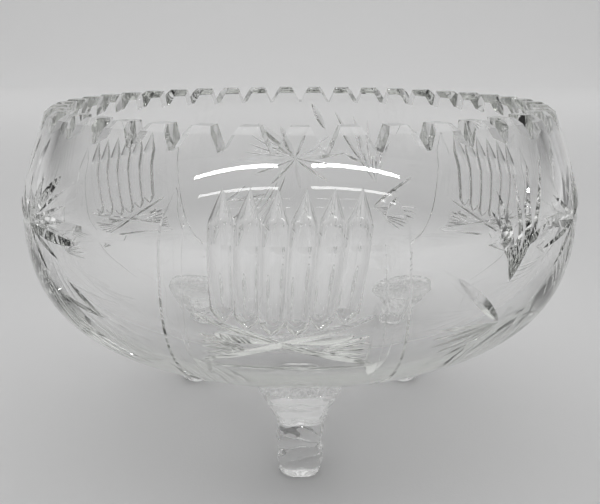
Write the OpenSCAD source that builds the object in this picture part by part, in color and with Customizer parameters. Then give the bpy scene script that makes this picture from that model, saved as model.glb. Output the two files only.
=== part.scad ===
/* [Bowl] */
// Largest outside diameter, at the belly
belly_d = 254; // [200:1:360]
// Outside diameter at the mouth
mouth_d = 227.4; // [180:0.2:330]
// Depth of the bowl outside, from the tooth tops to the underside
bowl_depth = 114.4; // [90:0.2:150]
// Height of the widest point below the tooth tops
belly_drop = 40; // [25:1:60]
// Thickness of the side wall
wall = 9; // [6:0.5:12]
// Thickness of the floor
floor_t = 11; // [7:0.5:14]
// How gradually the upper wall leans in towards the mouth
lean = 1.2; // [1:0.05:2]
// How square the lower corner is: 2 is an ellipse
fullness = 3; // [2:0.1:4]

/* [Rim] */
// Number of teeth around the rim
teeth = 41; // [30:1:48]
// Depth of each notch between two teeth
notch_depth = 8.2; // [4:0.1:12]
// Width of a notch at the tooth tops, as a share of the tooth spacing
notch_share = 0.57; // [0.4:0.01:0.7]
// Width of the bottom of a notch
notch_floor = 1.6; // [0.6:0.1:3]
// Height and width of the bevel on the outside of each tooth
rim_bevel = 2.4; // [0.5:0.1:4]

/* [Feet] */
// Height of the bowl's underside above the table
clearance = 40.6; // [30:0.1:60]
// Distance of each foot from the bowl's axis
foot_ring = 66; // [55:1:80]
// Tilt of the pad that joins a foot to the bowl, degrees
pad_tilt = 11; // [0:1:15]
// Diameter of the pad
pad_d = 35; // [28:0.5:42]
// Thickness of the pad under the bowl
pad_t = 4.5; // [3:0.5:7]
// Width of the foot where it flares out under the pad
flare_d = 34; // [26:0.5:40]
// Width of the foot's stem
stem_d = 20; // [14:0.5:26]
// Height of the stem, below the flare
stem_h = 21; // [12:0.5:26]
// Width of the flat under the foot
sole_d = 13; // [8:0.5:18]
// Front-to-back thickness of the foot at the bottom
foot_t = 16; // [12:0.5:24]
// Front-to-back thickness of the foot under the pad
foot_top_t = 26; // [16:0.5:34]

/* [Hidden] */
$fn = 96;

belly_r = belly_d / 2;
mouth_r = mouth_d / 2;
rim_z = clearance + bowl_depth;
belly_z = rim_z - belly_drop;
notch_w = notch_share * PI * mouth_d / teeth;
foot_turns = [0, -120, 120];

// Steps along the upper wall, round the lower corner and up the flare of a foot
upper_steps = 6;
lower_steps = 15;
flare_steps = 6;
// Angle between the points of a small rounded edge, degrees
edge_step = 22.5;
// How hollow the flare of a foot is: 1 is a straight cone
flare_curve = 1.3;
// How far a cutting shape runs on past the face that it cuts
over = 2;

// Radius of the leaning upper wall at height z, for a wall set in from the outside
function upper_r(z, inset) =
    belly_r - inset - (belly_r - mouth_r) * pow((z - belly_z) / belly_drop, lean);

// Point on the rounded lower part, from the belly (a = 0) to the axis (a = 90)
function lower_point(a, inset, bottom) =
    [(belly_r - inset) * pow(cos(a), 2 / fullness),
     belly_z - (belly_z - bottom) * pow(sin(a), 2 / fullness)];

// One side of the wall, from the given top height down to the axis
function wall_line(top, inset, bottom) = concat(
    [for (i = [0 : upper_steps - 1]) let (z = top + (belly_z - top) * i / upper_steps)
        [upper_r(z, inset), z]],
    [for (i = [0 : lower_steps - 1]) lower_point(90 * i / lower_steps, inset, bottom)],
    [[0, bottom]]);

// Height of the outside of the bowl's lower part at radius r
function underside_z(r) =
    belly_z - (belly_z - clearance) * pow(1 - pow(r / belly_r, fullness), 1 / fullness);

module bowl_outer() {
    rotate_extrude()
        polygon(concat([[0, rim_z], [mouth_r - rim_bevel, rim_z]],
                       wall_line(rim_z - rim_bevel, 0, clearance)));
}

module bowl_inner() {
    rotate_extrude()
        polygon(concat([[0, rim_z + over], [upper_r(rim_z, wall), rim_z + over]],
                       wall_line(rim_z, wall, clearance + floor_t)));
}

// One notch, cut straight out through the wall, and carried on above the tooth tops
module notch() {
    half_floor = notch_floor / 2;
    half_top = half_floor + (notch_w / 2 - half_floor) * (notch_depth + over) / notch_depth;
    translate([mouth_r - 2 * wall, 0, rim_z])
        rotate([90, 0, 90])
            linear_extrude(height = 3 * wall)
                polygon([[-half_floor, -notch_depth], [half_floor, -notch_depth],
                         [half_top, over], [-half_top, over]]);
}

module bowl() {
    color([0.9, 0.93, 0.94, 0.45])
        difference() {
            bowl_outer();
            bowl_inner();
            for (i = [0 : teeth - 1])
                rotate([0, 0, (i + 0.5) * 360 / teeth - 90])
                    notch();
        }
}

// Places its children under the bowl with the pad's lower face as their level plane
module on_pad_plane() {
    translate([0, -foot_ring, underside_z(foot_ring)])
        rotate([-pad_tilt, 0, 0])
            translate([0, 0, -pad_t])
                children();
}

// The fused pad: a disc with a rounded edge, its top shaped by the bowl's underside
module wafer(turn) {
    edge = 1.5;
    pad_r = pad_d / 2;
    uncut_t = 3 * pad_t;
    color([0.86, 0.9, 0.92, 0.6])
        difference() {
            rotate([0, 0, turn])
                on_pad_plane()
                    rotate_extrude()
                        polygon(concat([[0, uncut_t], [0, 0]],
                                       [for (a = [0 : edge_step : 90])
                                           [pad_r - edge + edge * sin(a), edge - edge * cos(a)]],
                                       [[pad_r, uncut_t]]));
            bowl_outer();
        }
}

// The foot's turned outline: a sole with a rounded edge, a stem and a flare
module foot_turning() {
    edge = (stem_d - sole_d) / 2;
    stem_r = stem_d / 2;
    flare_h = clearance - stem_h;
    rotate_extrude()
        polygon(concat([[0, 0]],
                       [for (a = [0 : edge_step : 90])
                           [stem_r - edge + edge * sin(a), edge - edge * cos(a)]],
                       [for (i = [0 : flare_steps])
                           [stem_r + (flare_d / 2 - stem_r) * pow(i / flare_steps, flare_curve),
                            stem_h + flare_h * i / flare_steps]],
                       [[0, stem_h + flare_h]]));
}

// The foot seen from the side, as the tool that flattens it leaves it
module foot_side() {
    rotate([90, 0, 90])
        linear_extrude(height = 2 * flare_d, center = true)
            polygon([[-foot_t / 2, 0], [foot_t / 2, 0],
                     [foot_t / 2, stem_h], [foot_top_t / 2, clearance + over],
                     [-foot_top_t / 2, clearance + over], [-foot_t / 2, stem_h]]);
}

module foot(turn) {
    color([0.88, 0.92, 0.93, 0.55])
        rotate([0, 0, turn])
            difference() {
                translate([0, -foot_ring, 0])
                    intersection() {
                        foot_turning();
                        foot_side();
                    }
                on_pad_plane()
                    translate([-flare_d, -flare_d, 0])
                        cube([2 * flare_d, 2 * flare_d, clearance]);
            }
}

bowl();
wafer(foot_turns[0]);  // wafer_front
wafer(foot_turns[1]);  // wafer_left
wafer(foot_turns[2]);  // wafer_right
foot(foot_turns[0]);  // foot_front
foot(foot_turns[1]);  // foot_left
foot(foot_turns[2]);  // foot_right
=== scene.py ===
"""A footed cut-glass punch bowl: looks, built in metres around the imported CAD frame.

The bowl is turned, then cut by wheel-shaped blades, one layer of blades at a time. The feet and
the wafers between them and the bowl are shaped by formula. A cut's places are azimuths in
degrees (0 is the front) and distances in millimetres down the wall from the rim. Its width is
from its middle to its side, in millimetres too.
"""

import math

import bmesh
import bpy
import numpy as np
from mathutils import Matrix, Vector, noise


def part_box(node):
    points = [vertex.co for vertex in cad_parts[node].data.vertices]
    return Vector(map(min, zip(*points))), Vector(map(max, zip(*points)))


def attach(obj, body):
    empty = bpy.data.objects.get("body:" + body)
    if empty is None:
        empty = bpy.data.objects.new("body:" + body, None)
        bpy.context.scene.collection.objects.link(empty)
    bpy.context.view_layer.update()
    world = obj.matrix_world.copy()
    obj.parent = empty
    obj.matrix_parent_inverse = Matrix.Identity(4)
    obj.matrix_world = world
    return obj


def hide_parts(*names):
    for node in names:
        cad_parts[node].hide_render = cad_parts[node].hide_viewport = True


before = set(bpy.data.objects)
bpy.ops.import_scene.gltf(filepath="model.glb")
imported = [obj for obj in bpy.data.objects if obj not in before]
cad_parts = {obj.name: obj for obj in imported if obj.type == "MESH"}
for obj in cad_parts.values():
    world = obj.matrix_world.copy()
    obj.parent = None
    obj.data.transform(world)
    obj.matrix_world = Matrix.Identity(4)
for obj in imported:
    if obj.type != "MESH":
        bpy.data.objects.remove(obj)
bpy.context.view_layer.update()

MM = 0.001
BODY = "root"

# ---------------------------------------------------------------- driving sizes
bowl_low, bowl_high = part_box("bowl")
BELLY_R = min(bowl_high[0], -bowl_low[0])
RIM_Z = bowl_high[2]
UNDER_Z = bowl_low[2]
MOUTH_R = 113.7 * MM
BELLY_Z = RIM_Z - 40 * MM
WALL = 9 * MM
BELLY_WALL = 8.5 * MM
RIM_WALL_GAIN = 1.25 * MM
FLOOR_T = 11 * MM
RIM_BEVEL = 2.4 * MM
# Powers that shape the upper wall's lean and the lower wall's roundness
LEAN = 1.2
FULLNESS = 3.0

TEETH = 41
NOTCH_DEPTH = 8.2 * MM
NOTCH_W = 9.9 * MM
NOTCH_FLOOR = 1.6 * MM

PANELS = 3
PANEL_TURN = -2.6
FEET = {"front": 0.0, "left": -120.0, "right": 120.0}
FOOT_RING = 66 * MM
PAD_R = 17.5 * MM
PAD_T = 4.5 * MM
PAD_TILT = math.radians(11)
# How far the bowl's seat and the wafer's top go into the bowl, and the gap round the wafer in
# its seat, so that no two faces lie in one plane
SEAT_SINK = 0.06 * MM
WAFER_SINK = 0.04 * MM
SEAT_GAP = 0.03 * MM
SEAT_ROWS = 5
SEAT_AROUND = 120

FLARE_R = 17 * MM
FLARE_T = 13 * MM
FOOT_SQUARE = 3.0
# Sizes of the foot's sections, in millimetres
STEM_R = 10.0
STEM_T = 8.0
STEM_TOP = 24.5
PAD_LOW = 40.6
SOLE_ROUND = 8.0
SOLE_TUCK_R = 4.3
SOLE_TUCK_T = 3.2
# Tooling creases across the foot: height, depth and spread in millimetres, and slope
CREASES = [
    (4.6, 1.2, 1.0, 0.02),
    (10.0, 1.5, 1.3, 0.26),
    (14.8, 1.9, 1.1, 0.03),
    (18.6, 2.0, 1.9, -0.22),
    (25.2, 2.0, 1.5, 0.0),
    (32.8, 1.2, 0.9, 0.03),
]


# ---------------------------------------------------------------- the bowl's wall
# Fine steps along the upper and the lower wall, from which its even points are taken
UPPER_STEPS = 80
LOWER_STEPS = 600
# Spacing of the even points: in the table of the outside, and in the mesh outside and inside
TABLE_SPACING = 0.5 * MM
OUTER_SPACING = 2.4 * MM
INNER_SPACING = 2.8 * MM
SEGMENTS = TEETH * 8


def upper_r(z, inset, gain):
    """Radius of the leaning upper wall at height z."""
    share = (z - BELLY_Z) / (RIM_Z - BELLY_Z)
    return BELLY_R - inset - (BELLY_R - MOUTH_R + gain) * share**LEAN


def lower_point(a, inset, bottom):
    """Point on the rounded lower part, from the belly (a = 0) to the axis (a = pi / 2)."""
    return (
        (BELLY_R - inset) * max(math.cos(a), 0.0) ** (2 / FULLNESS),
        BELLY_Z - (BELLY_Z - bottom) * math.sin(a) ** (2 / FULLNESS),
    )


def wall_line(top, side, spacing):
    """Evenly spaced (r, z) points along one side of the wall, from the top to the axis, and
    their distances down the wall."""
    inset, gain, bottom = side
    fine = [(upper_r(z, inset, gain), z) for z in np.linspace(top, BELLY_Z, UPPER_STEPS)[:-1]]
    fine += [lower_point(a, inset, bottom) for a in np.linspace(0, math.pi / 2, LOWER_STEPS)]
    fine = np.array(fine)
    run = np.concatenate([[0], np.cumsum(np.hypot(*np.diff(fine, axis=0).T))])
    even = np.linspace(0, run[-1], round(run[-1] / spacing) + 1)
    return np.column_stack([np.interp(even, run, fine[:, 0]), np.interp(even, run, fine[:, 1])]), even


# Each side of the wall: its inset at the belly, what it gains at the rim, and its lowest height
OUTSIDE = (0, 0, UNDER_Z)
INSIDE = (BELLY_WALL, RIM_WALL_GAIN, UNDER_Z + FLOOR_T)
OUTER, OUTER_RUN = wall_line(RIM_Z, OUTSIDE, TABLE_SPACING)
OUTER_SLOPE = np.gradient(OUTER, OUTER_RUN, axis=0)


def on_wall(azimuth, down):
    """Point and outward normal on the outside, at an azimuth in degrees and a distance in
    metres down the wall from the rim."""
    r, z = (np.interp(down, OUTER_RUN, OUTER[:, k]) for k in (0, 1))
    dr, dz = (np.interp(down, OUTER_RUN, OUTER_SLOPE[:, k]) for k in (0, 1))
    a = math.radians(azimuth)
    out = Vector((math.sin(a), -math.cos(a), 0))
    normal = (out * -dz + Vector((0, 0, dr))).normalized()
    return out * r + Vector((0, 0, z)), normal


def revolve(profile, segments):
    """Vertices and faces of a closed shape turned from (r, z) points that start and end on the axis."""
    verts, faces = [], []
    rings = profile[1:-1]
    for r, z in rings:
        for i in range(segments):
            a = 2 * math.pi * i / segments
            verts.append((r * math.sin(a), -r * math.cos(a), z))
    for k in range(len(rings) - 1):
        for i in range(segments):
            j = (i + 1) % segments
            a, b = k * segments, (k + 1) * segments
            faces.append((a + i, b + i, b + j, a + j))
    first, last = len(verts), len(verts) + 1
    verts += [(0, 0, profile[0][1]), (0, 0, profile[-1][1])]
    end = (len(rings) - 1) * segments
    for i in range(segments):
        j = (i + 1) % segments
        faces.append((first, i, j))
        faces.append((last, end + j, end + i))
    return verts, faces


def new_object(name, verts, faces):
    """A mesh object of vertices and faces, linked to the scene."""
    mesh = bpy.data.meshes.new(name)
    mesh.from_pydata([tuple(v) for v in verts], [], faces)
    mesh.validate()
    piece = bpy.data.objects.new(name, mesh)
    bpy.context.scene.collection.objects.link(piece)
    return piece


# ---------------------------------------------------------------- wheel cuts
# How far a cutter reaches past the surface that it cuts
OVERCUT = 2 * MM
# Longest step along a cut that runs out to points, and steps along an upright cut
MITRE_STEP = 2.2 * MM
UPRIGHT_STEPS = 30
# How far a cutter rises out of the glass at its ends, as a share of its full section
MITRE_LIFT = 0.03
UPRIGHT_LIFT = 0.02
# Points along a hollow cutter's edge, and the flat part of a flat cutter's width
HOLLOW_POINTS = 15
FLAT_SHARE = 0.84


class Cuts:
    """Blades collected into layers whose blades don't touch, so that each layer is one cut."""

    def __init__(self):
        self.layers = {}

    def add(self, layer, verts, faces):
        all_verts, all_faces = self.layers.setdefault(layer, ([], []))
        base = len(all_verts)
        all_verts += verts
        all_faces += [tuple(base + i for i in f) for f in faces]


def hollow_section(width, depth):
    """Lower edge of a cutter that leaves a rounded hollow, as (across, up) points."""
    half_arc = 2 * math.atan2(depth, width)
    radius = width / math.sin(half_arc)
    angles = np.linspace(-half_arc, half_arc, HOLLOW_POINTS)
    return [(radius * math.sin(t), radius - depth - radius * math.cos(t)) for t in angles]


def flat_section(width, depth):
    """Lower edge of a cutter that leaves a flat band between two crisp steps."""
    flat = FLAT_SHARE * width
    return [(-width, 0.0), (-flat, -depth), (flat, -depth), (width, 0.0)]


def blade(stations, width, depth, edge):
    """A cutter with the lower edge that is given, swept along stations of (azimuth, metres
    down, share of the full section)."""
    flank = width / depth
    count = len(edge) + 2
    pts = [on_wall(az, down) for az, down, _ in stations]
    verts, faces = [], []
    for k, (_, _, share) in enumerate(stations):
        point, normal = pts[k]
        ahead, behind = pts[min(k + 1, len(pts) - 1)][0], pts[max(k - 1, 0)][0]
        along = (ahead - behind).normalized()
        side = along.cross(normal).normalized()
        up = side.cross(along).normalized()
        top = max(width * share + flank * OVERCUT, edge[-1][0] * share)
        verts.append(point - side * top + up * OVERCUT)
        verts += [point + side * x * share + up * z * share for x, z in edge]
        verts.append(point + side * top + up * OVERCUT)
    for k in range(len(stations) - 1):
        a, b = count * k, count * (k + 1)
        for i in range(count):
            j = (i + 1) % count
            faces.append((b + i, b + j, a + j, a + i))
    last = len(verts) - count
    faces.append(tuple(range(count)))
    faces.append(tuple(reversed(range(last, last + count))))
    return verts, faces


def mitre(start, end, width, depth, bend=0.0, sharpness=0.65, skew=1.0):
    """A cut that runs out to a point at both ends, bowed sideways by bend degrees. A skew
    above 1 moves its widest place towards the end."""
    (a0, s0), (a1, s1) = start, end
    length = math.hypot(math.radians(a1 - a0) * BELLY_R, (s1 - s0) * MM)
    steps = max(8, round(length / MITRE_STEP))
    stations = []
    for k in range(steps + 1):
        t = k / steps
        share = math.sin(math.pi * t**skew) ** sharpness - MITRE_LIFT
        bow = bend * 4 * t * (1 - t)
        stations.append((a0 + (a1 - a0) * t + bow, (s0 + (s1 - s0) * t) * MM, share))
    return blade(stations, width * MM, depth * MM, [(0.0, -depth * MM)])


def upright(top, bottom, width_top, width_bottom, depth, tip, toe, outline):
    """An upright cut with a straight-sided gothic tip at the top and a short end below. The
    tip and the toe are lengths, and outline makes the cutter's lower edge."""
    (a0, s0), (a1, s1) = top, bottom
    stations = []
    for k in range(UPRIGHT_STEPS + 1):
        t = k / UPRIGHT_STEPS
        s = s0 + (s1 - s0) * t
        rise = min((s - s0) / tip, 1.0)
        fall = min((s1 - s) / toe, 1.0)
        share = min(rise, fall**0.7) - UPRIGHT_LIFT
        width = width_top + (width_bottom - width_top) * t
        stations.append((a0 + (a1 - a0) * t, s * MM, share * width / width_bottom))
    return blade(stations, width_bottom * MM, depth * MM, outline(width_bottom * MM, depth * MM))


# Flutes: their number, spacing above and below, the lean of the row, the height of their tips,
# and the line that they stand on, which rises from its middle by a slope
FLUTES = 6
FLUTE_TOP_STEP = 4.42
FLUTE_FOOT_STEP = 3.78
FLUTE_LEAN = 1.5
FLUTE_TOP = 19.8
FLUTE_FOOT = 72.5
FLUTE_FOOT_RISE = 0.6
FLUTE_CUT = {
    "width_top": 4.75, "width_bottom": 4.25, "depth": 2.7, "tip": 12, "toe": 4.5, "outline": hollow_section}
# Borders: azimuth and distance down of the top and the bottom of the right one
BORDER = ((17.3, 21.0), (18.8, 118.0))
BORDER_CUT = {
    "width_top": 5.0, "width_bottom": 4.7, "depth": 0.6, "tip": 12, "toe": 14, "outline": flat_section}
# Lines of the strapwork: start, end, width, depth
STRAPWORK = [
    ((-14.6, 64.0), (15.6, 87.0), 1.6, 1.2),
    ((14.4, 64.0), (-14.6, 85.5), 1.6, 1.2),
    ((-15.5, 87.5), (15.5, 87.5), 0.9, 0.7),
]
# The right leaf of the cross, in the same way, and the roots and tips of the fan on it
CROSS_LEAF = ((1.6, 74.8), (11.5, 71.6), 2.3, 1.3)
CROSS_FAN = [((5.0 + 0.9 * abs(k - 2), 76.4 + 0.9 * k), (14.0, 72.0 + 2.9 * k)) for k in range(5)]
# Width and depth of the finest cuts
FINE = (0.8, 0.7)


def cut_flute_panel(cuts, centre):
    """Six hollow flutes between two border cuts, over a strapwork cross with leaves and fans."""

    def place(spot, side=1):
        return centre + side * spot[0], spot[1]

    for i in range(FLUTES):
        step = i - (FLUTES - 1) / 2
        foot = FLUTE_FOOT_STEP * step
        top = place((FLUTE_LEAN + FLUTE_TOP_STEP * step, FLUTE_TOP))
        bottom = place((foot, FLUTE_FOOT - FLUTE_FOOT_RISE * abs(foot)))
        cuts.add(f"flutes{i % 2}", *upright(top, bottom, **FLUTE_CUT))
    for side in (-1, 1):
        top, bottom = (place(spot, side) for spot in BORDER)
        cuts.add("borders", *upright(top, bottom, **BORDER_CUT))
    for k, (start, end, width, depth) in enumerate(STRAPWORK):
        cuts.add(f"strap{k}", *mitre(place(start), place(end), width, depth, sharpness=0.3))
    for side in (-1, 1):
        start, end, width, depth = CROSS_LEAF
        cuts.add("cross_leaf", *mitre(place(start, side), place(end, side), width, depth, skew=1.5))
        for k, (root, tip) in enumerate(CROSS_FAN):
            cuts.add(f"cross_fan{k}", *mitre(place(root, side), place(tip, side), *FINE))


# Middles of the star and of the two fans
STAR = (4.0, 45.0)
FAN_ROOT = (-20.5, 59.0)
LOW_ROOT = (-20.5, 76.0)
# Ends of the star's rays: (azimuth, down, width, depth)
STAR_RAYS = [
    (15.5, 22.5, 3.0, 2.0),
    (8.5, 25.0, 2.4, 1.7),
    (17.5, 27.5, 0.9, 0.8),
    (18.5, 33.0, 0.9, 0.8),
    (19.5, 39.0, 0.9, 0.8),
    (23.5, 46.0, 3.0, 1.9),
    (16.5, 54.5, 1.2, 1.0),
    (11.5, 62.0, 1.4, 1.1),
    (2.5, 66.0, 1.6, 1.2),
    (-6.0, 60.0, 1.4, 1.1),
    (-11.5, 50.0, 1.2, 1.0),
    (-11.0, 40.0, 3.0, 2.0),
    (-6.5, 31.0, 1.2, 1.0),
    (0.5, 24.0, 1.0, 0.9),
]
# Ends of the upper fan's rays, in the same way
FAN_RAYS = [
    (-25.0, 31.0, 1.0, 0.9),
    (-23.0, 24.5, 1.3, 1.1),
    (-18.0, 19.5, 1.3, 1.1),
    (-13.5, 16.5, 1.3, 1.1),
    (-8.0, 14.5, 1.3, 1.1),
]
# Leaves: start, end, width, depth
LEAVES = [
    ((-23.3, 33.0), (-21.4, 50.5), 2.5, 2.1),
    ((-19.2, 42.0), (-20.4, 57.0), 2.0, 1.7),
    ((-15.4, 26.0), (-16.6, 45.5), 2.2, 1.9),
    ((-1.0, 9.5), (-5.0, 27.5), 2.1, 1.8),
    ((-17.5, 47.0), (-10.5, 40.5), 1.8, 1.4),
]
# Tips of the lower fan, and the cut that runs down to its root
LOW_FAN = [(-34.5, 73.5), (-35.0, 77.5), (-34.8, 81.5), (-33.6, 85.5), (-31.0, 89.0)]
LOW_MITRE = ((-32.0, 53.5), LOW_ROOT, 2.4, 1.7)
# The sheaf and the vee: starts and ends, and the width and depth of their cuts
SHEAF = [((7.0 + 2.4 * k, 56.0 + 4.0 * k), (24.0 + 3.0 * k, 108.0 - 4.0 * k)) for k in range(4)]
SHEAF_CUT = (1.3, 1.0)
VEE = [((19.0, 62.0), (26.5, 73.0)), ((13.0, 68.5), (27.5, 73.5))]
VEE_CUT = (1.2, 1.0)


def cut_star_panel(cuts, centre):
    """A turning star with leaves, over two fans and a sheaf of long sweeping cuts."""

    def place(spot):
        return centre + spot[0], spot[1]

    for k, (az, down, width, depth) in enumerate(STAR_RAYS):
        cuts.add(f"star{k}", *mitre(place(STAR), place((az, down)), width, depth))
    for k, (az, down, width, depth) in enumerate(FAN_RAYS):
        cuts.add(f"fan{k}", *mitre(place(FAN_ROOT), place((az, down)), width, depth, bend=0.8))
    for k, (start, end, width, depth) in enumerate(LEAVES):
        cuts.add(f"leaf{k % 2}", *mitre(place(start), place(end), width, depth, sharpness=0.8))
    start, end, width, depth = LOW_MITRE
    cuts.add("low_mitre", *mitre(place(start), place(end), width, depth))
    for k, tip in enumerate(LOW_FAN):
        cuts.add(f"low_fan{k}", *mitre(place(LOW_ROOT), place(tip), *FINE))
    for k, (start, end) in enumerate(SHEAF):
        cuts.add(f"sheaf{k}", *mitre(place(start), place(end), *SHEAF_CUT, bend=-2.2))
    for k, (start, end) in enumerate(VEE):
        cuts.add(f"vee{k}", *mitre(place(start), place(end), *VEE_CUT))


def notch_blades():
    """Wedges for the gaps between the teeth, each cut straight out through the wall."""
    verts, faces = [], []
    half_floor = NOTCH_FLOOR / 2
    half_top = half_floor + (NOTCH_W / 2 - half_floor) * (NOTCH_DEPTH + OVERCUT) / NOTCH_DEPTH
    outline = [
        (-half_floor, -NOTCH_DEPTH), (half_floor, -NOTCH_DEPTH), (half_top, OVERCUT), (-half_top, OVERCUT)]
    sides = ((3, 2, 1, 0), (4, 5, 6, 7), (0, 1, 5, 4), (1, 2, 6, 5), (2, 3, 7, 6), (3, 0, 4, 7))
    for i in range(TEETH):
        a = 2 * math.pi * (i + 0.5) / TEETH
        out = Vector((math.sin(a), -math.cos(a), 0))
        side = Vector((math.cos(a), math.sin(a), 0))
        base = len(verts)
        for r in (MOUTH_R - 2 * WALL, MOUTH_R + WALL):
            verts += [out * r + side * x + Vector((0, 0, RIM_Z + z)) for x, z in outline]
        faces += [tuple(base + k for k in face) for face in sides]
    return verts, faces


def turned_surface(points, side):
    """Distance outside a turned wall, and its outward normal, at each point of an (n, 3) array."""
    inset, gain, bottom = side
    r, z = np.hypot(points[:, 0], points[:, 1]), points[:, 2]
    tall = RIM_Z - BELLY_Z
    share = np.clip((z - BELLY_Z) / tall, 1e-6, None)
    taper = BELLY_R - MOUTH_R + gain
    lean = -taper * LEAN * share ** (LEAN - 1) / tall
    upper = r - (BELLY_R - inset - taper * share**LEAN)
    wide, deep = BELLY_R - inset, BELLY_Z - bottom
    fall = np.clip((BELLY_Z - z) / deep, 0, None)
    out_r = FULLNESS * (r / wide) ** (FULLNESS - 1) / wide
    out_z = -FULLNESS * fall ** (FULLNESS - 1) / deep
    steep = np.hypot(out_r, out_z)
    lower = ((r / wide) ** FULLNESS + fall**FULLNESS - 1) / steep
    high = z >= BELLY_Z
    size = np.hypot(1, lean)
    n_r, n_z = np.where(high, 1 / size, out_r / steep), np.where(high, -lean / size, out_z / steep)
    flat = n_r / np.maximum(r, 1e-9)
    normal = np.column_stack([points[:, 0] * flat, points[:, 1] * flat, n_z])
    return np.where(high, upper / size, lower), normal


def read(items, key, width, kind=float):
    """A property of many mesh items as one numpy array."""
    values = np.empty(len(items) * width, dtype=kind)
    items.foreach_get(key, values)
    return values.reshape(-1, width) if width > 1 else values


# How close to a turned wall a face lies, and how square to it (in degrees), to count as part of it
ON_WALL_GAP = 0.03 * MM
ON_WALL_TURN = 7
# How far two faces turn, in degrees, before the edge between them is sharp
SHARP_TURN = 14


def shade_bowl(mesh):
    """Exact normals on the two turned walls, and a crisp edge wherever a cut meets them."""
    place = read(mesh.vertices, "co", 3)
    corner = read(mesh.loops, "vertex_index", 1, np.int32)
    face_normal = read(mesh.polygons, "normal", 3)
    sizes = read(mesh.polygons, "loop_total", 1, np.int32)
    starts = read(mesh.polygons, "loop_start", 1, np.int32)
    face_of = np.repeat(np.arange(len(sizes)), sizes)
    walls = []
    for side, sign in ((OUTSIDE, 1), (INSIDE, -1)):
        gap, normal = turned_surface(place, side)
        normal = normal[corner] * sign
        close = np.minimum.reduceat((np.abs(gap) < ON_WALL_GAP)[corner].astype(int), starts) > 0
        along = np.einsum("ij,ij->i", normal, face_normal[face_of])
        level = np.minimum.reduceat(along, starts) > math.cos(math.radians(ON_WALL_TURN))
        walls.append((close & level, normal))
    is_wall = walls[0][0] | walls[1][0]
    edge_of = read(mesh.loops, "edge_index", 1, np.int32)
    pairs = face_of[np.argsort(edge_of, kind="stable")].reshape(-1, 2)
    turn = np.einsum("ij,ij->i", face_normal[pairs[:, 0]], face_normal[pairs[:, 1]])
    crease = turn < math.cos(math.radians(SHARP_TURN))
    sharp = crease | (is_wall[pairs[:, 0]] != is_wall[pairs[:, 1]])
    mesh.polygons.foreach_set("use_smooth", [True] * len(mesh.polygons))
    mesh.attributes.new("sharp_edge", "BOOLEAN", "EDGE").data.foreach_set("value", sharp)
    mesh.update()
    normals = read(mesh.corner_normals, "vector", 3)
    for faces, exact in walls:
        on = faces[face_of]
        normals[on] = exact[on]
    mesh.normals_split_custom_set(normals.tolist())


def drop_offcuts(mesh):
    """Keeps the bowl itself, and drops the pieces of glass that the blades have set free."""
    shape = bmesh.new()
    shape.from_mesh(mesh)
    left, groups = set(shape.verts), []
    while left:
        front = [left.pop()]
        group = set(front)
        while front:
            near = {edge.other_vert(vert) for vert in front for edge in vert.link_edges} - group
            group |= near
            front = list(near)
        left -= group
        groups.append(group)
    groups.sort(key=len)
    bmesh.ops.delete(shape, geom=[v for group in groups[:-1] for v in group], context="VERTS")
    shape.to_mesh(mesh)
    shape.free()


def all_cuts():
    """Every blade: the panels' cuts, the notches between the teeth and the seats of the wafers."""
    cuts = Cuts()
    for k in range(PANELS):
        centre = PANEL_TURN + 360 / PANELS * k
        cut_flute_panel(cuts, centre)
        cut_star_panel(cuts, centre + 180 / PANELS)
    cuts.add("notches", *notch_blades())
    for turn in FEET.values():
        cuts.add("seats", *seat_blade(turn))
    return cuts


def apply_cuts(bowl, cuts):
    """Cuts the bowl with one layer of blades after another, and returns its new mesh."""
    blades = []
    for name, (blade_verts, blade_faces) in cuts.layers.items():
        cutter = new_object("cutter_" + name, blade_verts, blade_faces)
        blades.append(cutter)
        step = bowl.modifiers.new(name, "BOOLEAN")
        step.operation = "DIFFERENCE"
        step.solver = "MANIFOLD"
        step.object = cutter
    graph = bpy.context.evaluated_depsgraph_get()
    mesh = bpy.data.meshes.new_from_object(bowl.evaluated_get(graph))
    bowl.modifiers.clear()
    old = bowl.data
    bowl.data = mesh
    bpy.data.meshes.remove(old)
    for cutter in blades:
        bpy.data.meshes.remove(cutter.data)
    # The Boolean leaves an empty slot, which would come before the glass
    mesh.materials.clear()
    return mesh


def build_bowl():
    """The turned bowl with all its cuts. Its shape is closed: up the inside, over the rim's
    bevel and down the outside."""
    outer, _ = wall_line(RIM_Z - RIM_BEVEL, OUTSIDE, OUTER_SPACING)
    inner, _ = wall_line(RIM_Z, INSIDE, INNER_SPACING)
    bevel = (MOUTH_R - RIM_BEVEL, RIM_Z)
    profile = [tuple(p) for p in inner[::-1]] + [bevel] + [tuple(p) for p in outer]
    bowl = new_object("bowl_cut_glass", *revolve(profile, SEGMENTS))
    mesh = apply_cuts(bowl, all_cuts())
    drop_offcuts(mesh)
    shade_bowl(mesh)
    return bowl


# ---------------------------------------------------------------- feet and wafers
def ring_of_angles(around):
    """Evenly spaced angles once round."""
    return [2 * math.pi * i / around for i in range(around)]


def smooth(mesh, sharp_angle):
    """Smooth shading, apart from edges that turn by more than an angle."""
    mesh.polygons.foreach_set("use_smooth", [True] * len(mesh.polygons))
    mesh.set_sharp_from_angle(angle=sharp_angle)


def stack(rows, low, high):
    """Closed skin over rows of points, each a ring, with a middle point at each end."""
    around = len(rows[0])
    verts = [v for row in rows for v in row] + [low, high]
    faces = []
    for k in range(len(rows) - 1):
        for i in range(around):
            j = (i + 1) % around
            a, b = k * around, (k + 1) * around
            faces.append((a + i, a + j, b + j, b + i))
    last = (len(rows) - 1) * around
    for i in range(around):
        j = (i + 1) % around
        faces.append((len(verts) - 2, j, i))
        faces.append((len(verts) - 1, last + i, last + j))
    return verts, faces


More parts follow.
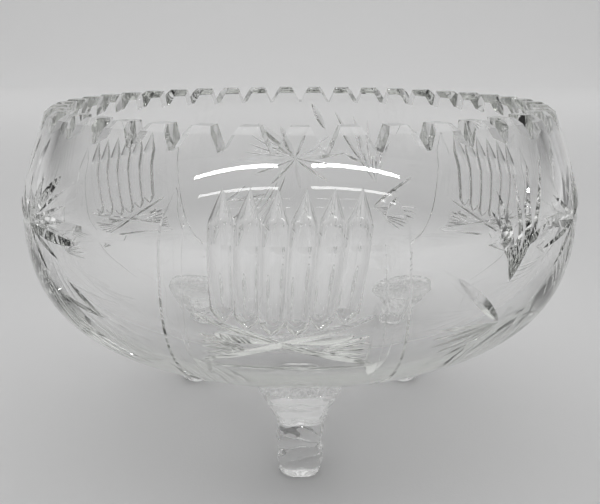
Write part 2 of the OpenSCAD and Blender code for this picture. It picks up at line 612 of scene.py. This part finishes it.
def underside_z(r):
    """Height of the bowl's underside at radius r."""
    low = OUTER[:, 1] <= BELLY_Z
    rs, zs = OUTER[low, 0][::-1], OUTER[low, 1][::-1]
    return float(np.interp(r, rs, zs))


def pad_frame():
    """Origin on the bowl's underside over the front foot, with Z along the wafer's axis."""
    height = underside_z(FOOT_RING)
    return Matrix.Translation((0, -FOOT_RING, height)) @ Matrix.Rotation(-PAD_TILT, 4, "X")


def under_bowl(frame_at, r, a, lift):
    """Point on the bowl's underside over a place on the wafer, raised into the bowl by lift."""
    point = frame_at @ Vector((r * math.cos(a), r * math.sin(a), 0))
    point.z = underside_z(math.hypot(point.x, point.y)) + lift
    return point


# How quickly a wafer's slow unevenness changes round it
WOBBLE_PACE = 2.2
# The fused patch: how much smaller than the wafer it is, its slow unevenness, and its folds
SEAT_INSET = 2.2 * MM
SEAT_WOBBLE = 0.9 * MM
SEAT_FOLDS = 13
SEAT_FOLD_R = 0.35 * MM


def wobble(a, turn):
    """Slow unevenness round a wafer's edge."""
    return noise.noise(Vector((WOBBLE_PACE * math.cos(a), WOBBLE_PACE * math.sin(a), turn)))


def seat_radius(a, turn):
    """Radius of the fused patch between a wafer and the bowl."""
    fold = SEAT_FOLD_R * math.sin(SEAT_FOLDS * a + turn)
    return PAD_R - SEAT_INSET + SEAT_WOBBLE * wobble(a, turn) + fold


def seat_blade(turn):
    """Cutter for the shallow seat that a wafer is fused into."""
    frame_at = pad_frame()
    angles = ring_of_angles(SEAT_AROUND)
    shares = [(k + 1) / SEAT_ROWS for k in range(SEAT_ROWS)]
    below = -1 * MM

    def ring(share, lift):
        return [under_bowl(frame_at, (seat_radius(a, turn) + SEAT_GAP) * share, a, lift) for a in angles]

    rows = [ring(share, below) for share in shares] + [ring(share, SEAT_SINK) for share in shares[::-1]]
    verts, faces = stack(rows, under_bowl(frame_at, 0, 0, below), under_bowl(frame_at, 0, 0, SEAT_SINK))
    return spun(verts, turn), faces


def spun(verts, turn):
    """Vertices turned about the bowl's axis, in degrees."""
    spin = Matrix.Rotation(math.radians(turn), 4, "Z")
    return [spin @ v for v in verts]


def foot_oval(a, half_width, half_thick):
    """Radius of the foot's squarish oval section at an angle."""
    across, through = abs(math.cos(a)) / half_width, abs(math.sin(a)) / half_thick
    return (across**FOOT_SQUARE + through**FOOT_SQUARE) ** (-1 / FOOT_SQUARE)


# The wafer's mesh: points round it, rows under it where the foot joins, and rows up its edge
WAFER_AROUND = 216
JOINT_ROWS = 4
WAFER_EDGE_ROWS = 9
# Its lower side: how much smaller than the wafer it is, its slow unevenness, and its least
# reach past the foot
LOW_INSET = 0.9 * MM
LOW_WOBBLE = 0.4 * MM
LOW_REACH = 0.05 * MM
# Its edge: folds round it, and the heights of its folds, fine folds, lumps and bulge
FOLDS = 26
FINE_FOLDS = 61
FOLD_R = 0.5 * MM
FINE_FOLD_R = 0.25 * MM
LUMP_R = 0.9 * MM
LUMP_SIZE = 1.5 * MM
BULGE_R = 0.35 * MM


def build_wafer(name, turn):
    """A wafer fused between bowl and foot, with an uneven, crimped, lumpy edge."""
    frame_at = pad_frame()
    angles = ring_of_angles(WAFER_AROUND)
    tilt = math.cos(PAD_TILT)

    def joint_radius(a):
        return foot_oval(a, FLARE_R, FLARE_T / tilt)

    def low_radius(a):
        return max(joint_radius(a) + LOW_REACH, PAD_R - LOW_INSET + LOW_WOBBLE * wobble(a, turn))

    def low_ring(radius):
        return [frame_at @ Vector((radius(a) * math.cos(a), radius(a) * math.sin(a), -PAD_T))
                for a in angles]

    def edge_ring(share):
        ring = []
        bulge = math.sin(math.pi * share)
        for a in angles:
            fold = FOLDS * a + 3 * wobble(a, turn)
            crimp = FOLD_R * math.sin(fold) + FINE_FOLD_R * math.sin(FINE_FOLDS * a + turn)
            r = low_radius(a) * (1 - share) + seat_radius(a, turn) * share
            spot = Vector((r * math.cos(a), r * math.sin(a), share * PAD_T)) / LUMP_SIZE
            lump = LUMP_R * noise.noise(spot + Vector((0, 0, turn)))
            r += (BULGE_R + crimp + lump) * bulge**0.6
            low = frame_at @ Vector((r * math.cos(a), r * math.sin(a), -PAD_T))
            high = under_bowl(frame_at, r, a, WAFER_SINK)
            ring.append(low + (high - low) * share)
        return ring

    rows = [low_ring(lambda a, share=k / JOINT_ROWS: joint_radius(a) * share)
            for k in range(1, JOINT_ROWS + 1)]
    rows.append(low_ring(lambda a: (joint_radius(a) + low_radius(a)) / 2))
    rows += [edge_ring(k / WAFER_EDGE_ROWS) for k in range(WAFER_EDGE_ROWS + 1)]
    for k in range(SEAT_ROWS - 1, 0, -1):
        share = k / SEAT_ROWS
        rows.append([under_bowl(frame_at, seat_radius(a, turn) * share, a, WAFER_SINK) for a in angles])
    middle = frame_at @ Vector((0, 0, -PAD_T))
    verts, faces = stack(rows, middle, under_bowl(frame_at, 0, 0, WAFER_SINK))
    piece = new_object(name, spun(verts, turn), faces)
    smooth(piece.data, sharp_angle=math.radians(50))
    return piece


def foot_size(h):
    """Half width and half thickness of the foot, both in millimetres, at height h."""
    flare = max((h - STEM_TOP) / (PAD_LOW - STEM_TOP), 0.0)
    half_width = STEM_R + (FLARE_R / MM - STEM_R) * flare**1.15
    half_thick = STEM_T + (FLARE_T / MM - STEM_T) * flare
    under = max(1 - h / SOLE_ROUND, 0.0)
    tuck = 1 - math.sqrt(1 - under**2)
    return half_width - SOLE_TUCK_R * tuck, half_thick - SOLE_TUCK_T * tuck


# Over what height the creases and lumps fade out at the sole and under the wafer
SOLE_FADE = 5
PAD_FADE = 4
# Height and size of the broad lumps all round, and of the small ones on the foot's two sides
BROAD_LUMP = (0.7, 7)
SIDE_LUMP = (0.9, 2.6)


def foot_point(h, a, turn):
    """Point on the foot's skin, in millimetres, at height h and an angle round its axis."""
    r = foot_oval(a, *foot_size(h))
    x, y = r * math.cos(a), r * math.sin(a)
    fade = max(min(h / SOLE_FADE, (PAD_LOW - 1 - h) / PAD_FADE, 1), 0)
    dent = sum(depth * math.exp(-abs((h - at - slope * (x + 0.01 * turn)) / spread))
               for at, depth, spread, slope in CREASES)
    side = abs(math.cos(a))
    spot = Vector((x, y, h + 3 * turn))
    (broad, broad_size), (small, small_size) = BROAD_LUMP, SIDE_LUMP
    lumps = broad * noise.noise(spot / broad_size) + small * side**3 * noise.noise(spot / small_size)
    r += (lumps - dent * (1 - 0.6 * side)) * fade
    return r * math.cos(a), r * math.sin(a)


# Points and rows in the foot's mesh, and the gap between it and its wafer
FOOT_AROUND = 90
FOOT_ROWS = 72
FOOT_GAP = 0.02 * MM
# The sole's hollow: its width as a share of the sole's, and its heights in millimetres
HOLLOW_SHARE = 0.55
HOLLOW_EDGE = 0.35
HOLLOW_MIDDLE = 0.5


def build_foot(name, turn):
    """A hot-tooled foot: flattened, pinched across, with a soft sole, cut flat under its wafer."""
    frame_at = pad_frame()
    plane = frame_at @ Vector((0, 0, -PAD_T - FOOT_GAP))
    upward = (frame_at.to_3x3() @ Vector((0, 0, 1))).normalized()
    angles = ring_of_angles(FOOT_AROUND)
    # The height where each line up the foot meets the tilted plane, found by closing in on it
    tops = []
    for a in angles:
        top = PAD_LOW
        for _ in range(4):
            y = foot_point(top, a, turn)[1] * MM - FOOT_RING
            top = (plane.z - (y - plane.y) * upward.y / upward.z) / MM
        tops.append(top)
    rows = [[Vector((HOLLOW_SHARE * x, HOLLOW_SHARE * y - FOOT_RING / MM, HOLLOW_EDGE)) * MM
             for x, y in (foot_point(0, a, turn) for a in angles)]]
    for k in range(FOOT_ROWS + 1):
        t = (k / FOOT_ROWS) ** 1.15
        row = []
        for a, top in zip(angles, tops):
            x, y = foot_point(t * top, a, turn)
            row.append(Vector((x, y - FOOT_RING / MM, t * top)) * MM)
        rows.append(row)
    verts, faces = stack(rows, Vector((0, -FOOT_RING, HOLLOW_MIDDLE * MM)), plane)
    piece = new_object(name, spun(verts, turn), faces)
    smooth(piece.data, sharp_angle=math.radians(60))
    return piece


# ---------------------------------------------------------------- materials
GLASS_IOR = 1.53
# What is left of light along its way inside, and how fast the rest goes
GLASS_TINT = (0.958, 0.96, 0.956, 1)
GLASS_DENSITY = 28
CLOTH_TONE = (0.76, 0.76, 0.76, 1)


def new_material(name):
    """A material with its nodes, its links and its Principled shader."""
    material = bpy.data.materials.new(name)
    material.use_nodes = True
    nodes = material.node_tree.nodes
    return material, nodes, material.node_tree.links, nodes["Principled BSDF"]


def noise_at(nodes, links, place, scale, detail):
    """A noise texture over the object's own coordinates."""
    texture = nodes.new("ShaderNodeTexNoise")
    texture.inputs["Scale"].default_value = scale
    texture.inputs["Detail"].default_value = detail
    links.new(place.outputs["Object"], texture.inputs["Vector"])
    return texture.outputs["Fac"]


def add_bump(nodes, links, shader, height, strength, distance):
    """Ripples in the surface, from a height."""
    bump = nodes.new("ShaderNodeBump")
    bump.inputs["Strength"].default_value = strength
    bump.inputs["Distance"].default_value = distance
    links.new(height, bump.inputs["Height"])
    links.new(bump.outputs["Normal"], shader.inputs["Normal"])


def glass(name, ripple, ripple_size, rough):
    """Clear glass, a little grey where light goes far inside it, with a faint ripple in its
    surface and a polish that varies."""
    material, nodes, links, shader = new_material(name)
    shader.inputs["Base Color"].default_value = (1, 1, 1, 1)
    shader.inputs["Transmission Weight"].default_value = 1
    shader.inputs["IOR"].default_value = GLASS_IOR
    place = nodes.new("ShaderNodeTexCoord")
    wave = noise_at(nodes, links, place, scale=ripple_size, detail=2)
    add_bump(nodes, links, shader, wave, ripple, 1 * MM)
    haze = noise_at(nodes, links, place, scale=45, detail=4)
    span = nodes.new("ShaderNodeMapRange")
    span.inputs["To Min"].default_value = 0.0
    span.inputs["To Max"].default_value = rough
    links.new(haze, span.inputs["Value"])
    links.new(span.outputs["Result"], shader.inputs["Roughness"])
    depth = nodes.new("ShaderNodeVolumeAbsorption")
    depth.inputs["Color"].default_value = GLASS_TINT
    depth.inputs["Density"].default_value = GLASS_DENSITY
    links.new(depth.outputs["Volume"], nodes["Material Output"].inputs["Volume"])
    return material


def cloth():
    """Plain pale cloth with a faint weave."""
    material, nodes, links, shader = new_material("pale_cloth")
    shader.inputs["Base Color"].default_value = CLOTH_TONE
    shader.inputs["Roughness"].default_value = 0.95
    place = nodes.new("ShaderNodeTexCoord")
    weave = noise_at(nodes, links, place, scale=900, detail=2)
    add_bump(nodes, links, shader, weave, 0.1, 0.5 * MM)
    return material


def build_backdrop():
    """A floor that curves up into a wall well behind the bowl. It lies just below the feet."""
    half, front, back, curve, height = 3.0, -2.4, 2.6, 0.6, 2.2
    drop = -0.15 * MM
    line = [(front, drop), (back, drop)]
    line += [(back + curve * math.sin(a), drop + curve - curve * math.cos(a))
             for a in np.linspace(0, math.pi / 2, 17)[1:]]
    line.append((back + curve, height))
    verts = [(x, y, z) for y, z in line for x in (-half, half)]
    faces = [(2 * k, 2 * k + 1, 2 * k + 3, 2 * k + 2) for k in range(len(line) - 1)]
    floor = new_object("backdrop", verts, faces)
    floor.data.polygons.foreach_set("use_smooth", [True] * len(floor.data.polygons))
    floor.data.materials.append(cloth())


# ---------------------------------------------------------------- light and camera
# Brightness of the room's parts, as they show in the glass
SKY_CEILING = 0.95
SKY_WALLS = 0.68
SKY_FRONT = 0.09
SKY_SIDES = 0.1
# The ceiling tubes, in metres: the (x, y) of each one's ends, their height over the rim, and
# their thickness; and their radiance
TUBES = {"tube_left": ((-1.75, -1.87), (-0.33, -2.02)), "tube_right": ((0.17, -2.03), (1.62, -1.89))}
TUBE_RISE = 1.168
TUBE_THICK = 0.024
TUBE_RADIANCE = 48
# The wash on the backdrop: its size and place in metres, its tilt in degrees, and its power
WASH_SIZE = (5, 0.6)
WASH_PLACE = (0, 1.6, 1.9)
WASH_TILT = 62
WASH_WATTS = 19

# The camera: how far in front of the axis and over the rim it stands, how far it looks down,
# in degrees, and its lens
CAMERA_BACK = 372.6 * MM
CAMERA_RISE = 28.7 * MM
CAMERA_DOWN = 15.32
CAMERA_LENS = 47
CAMERA_SENSOR = 36
# How often light may cross glass, and how often it may be mirrored in it
GLASS_CROSSINGS = 40
GLASS_MIRRORINGS = 24


def panel_light(name, wide, high, watts):
    """An area light, not placed yet."""
    lamp = bpy.data.lights.new(name, "AREA")
    lamp.shape = "RECTANGLE"
    lamp.size, lamp.size_y = wide, high
    lamp.energy = watts
    holder = bpy.data.objects.new(name, lamp)
    bpy.context.scene.collection.objects.link(holder)
    return holder


def ceiling_tube(name, start, end):
    """A long thin tube at one height that faces the bowl."""
    height = RIM_Z + TUBE_RISE
    one, two = Vector((*start, height)), Vector((*end, height))
    middle = (one + two) / 2
    along = (two - one).normalized()
    away = middle - Vector((0, 0, RIM_Z))
    away = (away - along * away.dot(along)).normalized()
    across = away.cross(along)
    long = (two - one).length
    tube = panel_light(name, long, TUBE_THICK, TUBE_RADIANCE * math.pi * long * TUBE_THICK)
    axes = Matrix((along, across, away)).transposed().to_4x4()
    tube.matrix_world = Matrix.Translation(middle) @ axes


def build_lights():
    """Two long ceiling tubes in front of the bowl, and a wash of light on the backdrop."""
    for name, (start, end) in TUBES.items():
        ceiling_tube(name, start, end)
    wash = panel_light("backdrop_wash", *WASH_SIZE, WASH_WATTS)
    wash.location = WASH_PLACE
    wash.rotation_euler = (math.radians(WASH_TILT), 0, 0)


def build_room():
    """A pale ceiling and walls all round, with a dim part behind the camera and one at each side."""
    world = bpy.data.worlds.new("room")
    bpy.context.scene.world = world
    world.use_nodes = True
    nodes, links = world.node_tree.nodes, world.node_tree.links
    place = nodes.new("ShaderNodeTexCoord")
    parts = nodes.new("ShaderNodeSeparateXYZ")
    links.new(place.outputs["Generated"], parts.inputs["Vector"])

    def rise(source, start, end):
        """From 0 to 1 as the source goes from start to end."""
        node = nodes.new("ShaderNodeMapRange")
        node.inputs["From Min"].default_value = start
        node.inputs["From Max"].default_value = end
        links.new(source, node.inputs["Value"])
        return node.outputs["Result"]

    def span(axis, start, end):
        """The same for one part of the direction: X is right, Y is away and Z is up."""
        return rise(parts.outputs[axis], start, end)

    def product(one, two):
        node = nodes.new("ShaderNodeMath")
        node.operation = "MULTIPLY"
        links.new(one, node.inputs[0])
        links.new(two, node.inputs[1])
        return node.outputs["Value"]

    def blend(factor, one, two):
        node = nodes.new("ShaderNodeMix")
        node.data_type = "RGBA"
        links.new(factor, node.inputs["Factor"])
        for name, tone in (("A", one), ("B", two)):
            if isinstance(tone, float):
                node.inputs[name].default_value = (tone, tone, tone, 1)
            else:
                links.new(tone, node.inputs[name])
        return node.outputs["Result"]

    sideways = nodes.new("ShaderNodeMath")
    sideways.operation = "ABSOLUTE"
    links.new(parts.outputs["X"], sideways.inputs[0])
    overhead = blend(span("Z", 0.55, 0.8), SKY_WALLS, SKY_CEILING)
    front = product(product(span("Y", 0.3, -0.5), span("Z", 0.0, 0.3)), span("Z", 0.95, 0.45))
    low = product(span("Z", 0.0, 0.15), span("Z", 0.6, 0.35))
    sides = product(rise(sideways.outputs["Value"], 0.55, 0.8), low)
    tone = blend(sides, blend(front, overhead, SKY_FRONT), SKY_SIDES)
    links.new(tone, nodes["Background"].inputs["Color"])


def set_paths():
    """Lets light cross the thick glass many times, and shows its brightness as it is."""
    scene = bpy.context.scene
    scene.cycles.max_bounces = GLASS_CROSSINGS
    scene.cycles.transmission_bounces = GLASS_CROSSINGS
    scene.cycles.glossy_bounces = GLASS_MIRRORINGS
    scene.view_settings.view_transform = "Standard"


def build_camera():
    """Stands close in front, a little above the rim, and looks down at the belly."""
    lens = bpy.data.cameras.new("camera")
    lens.lens = CAMERA_LENS
    lens.sensor_width = CAMERA_SENSOR
    camera = bpy.data.objects.new("camera", lens)
    bpy.context.scene.collection.objects.link(camera)
    camera.location = (0, -CAMERA_BACK, RIM_Z + CAMERA_RISE)
    camera.rotation_euler = (math.radians(90 - CAMERA_DOWN), 0, 0)
    bpy.context.scene.camera = camera


# ---------------------------------------------------------------- assembly
def dress(piece, node, material):
    """Gives a piece its material, hangs it on the body, and hides the CAD node that it stands for."""
    piece.data.materials.append(material)
    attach(piece, BODY)
    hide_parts(node)


def build_pieces():
    """The bowl, and a wafer and a foot at each of its three places."""
    wafer_glass = glass("wafer_glass", ripple=0.6, ripple_size=240, rough=0.015)
    foot_glass = glass("foot_glass", ripple=0.12, ripple_size=70, rough=0.02)
    bowl = build_bowl()
    # The light that clear glass bends lands where its shadow would be, so it casts none
    bowl.visible_shadow = False
    bowl_glass = glass("bowl_glass", ripple=0.05, ripple_size=18, rough=0.015)
    dress(bowl, "bowl", bowl_glass)
    for side, turn in FEET.items():
        dress(build_wafer(f"wafer_{side}_fused", turn), f"wafer_{side}", wafer_glass)
        dress(build_foot(f"foot_{side}_tooled", turn), f"foot_{side}", foot_glass)


build_camera()
build_pieces()
build_backdrop()
build_lights()
build_room()
set_paths()
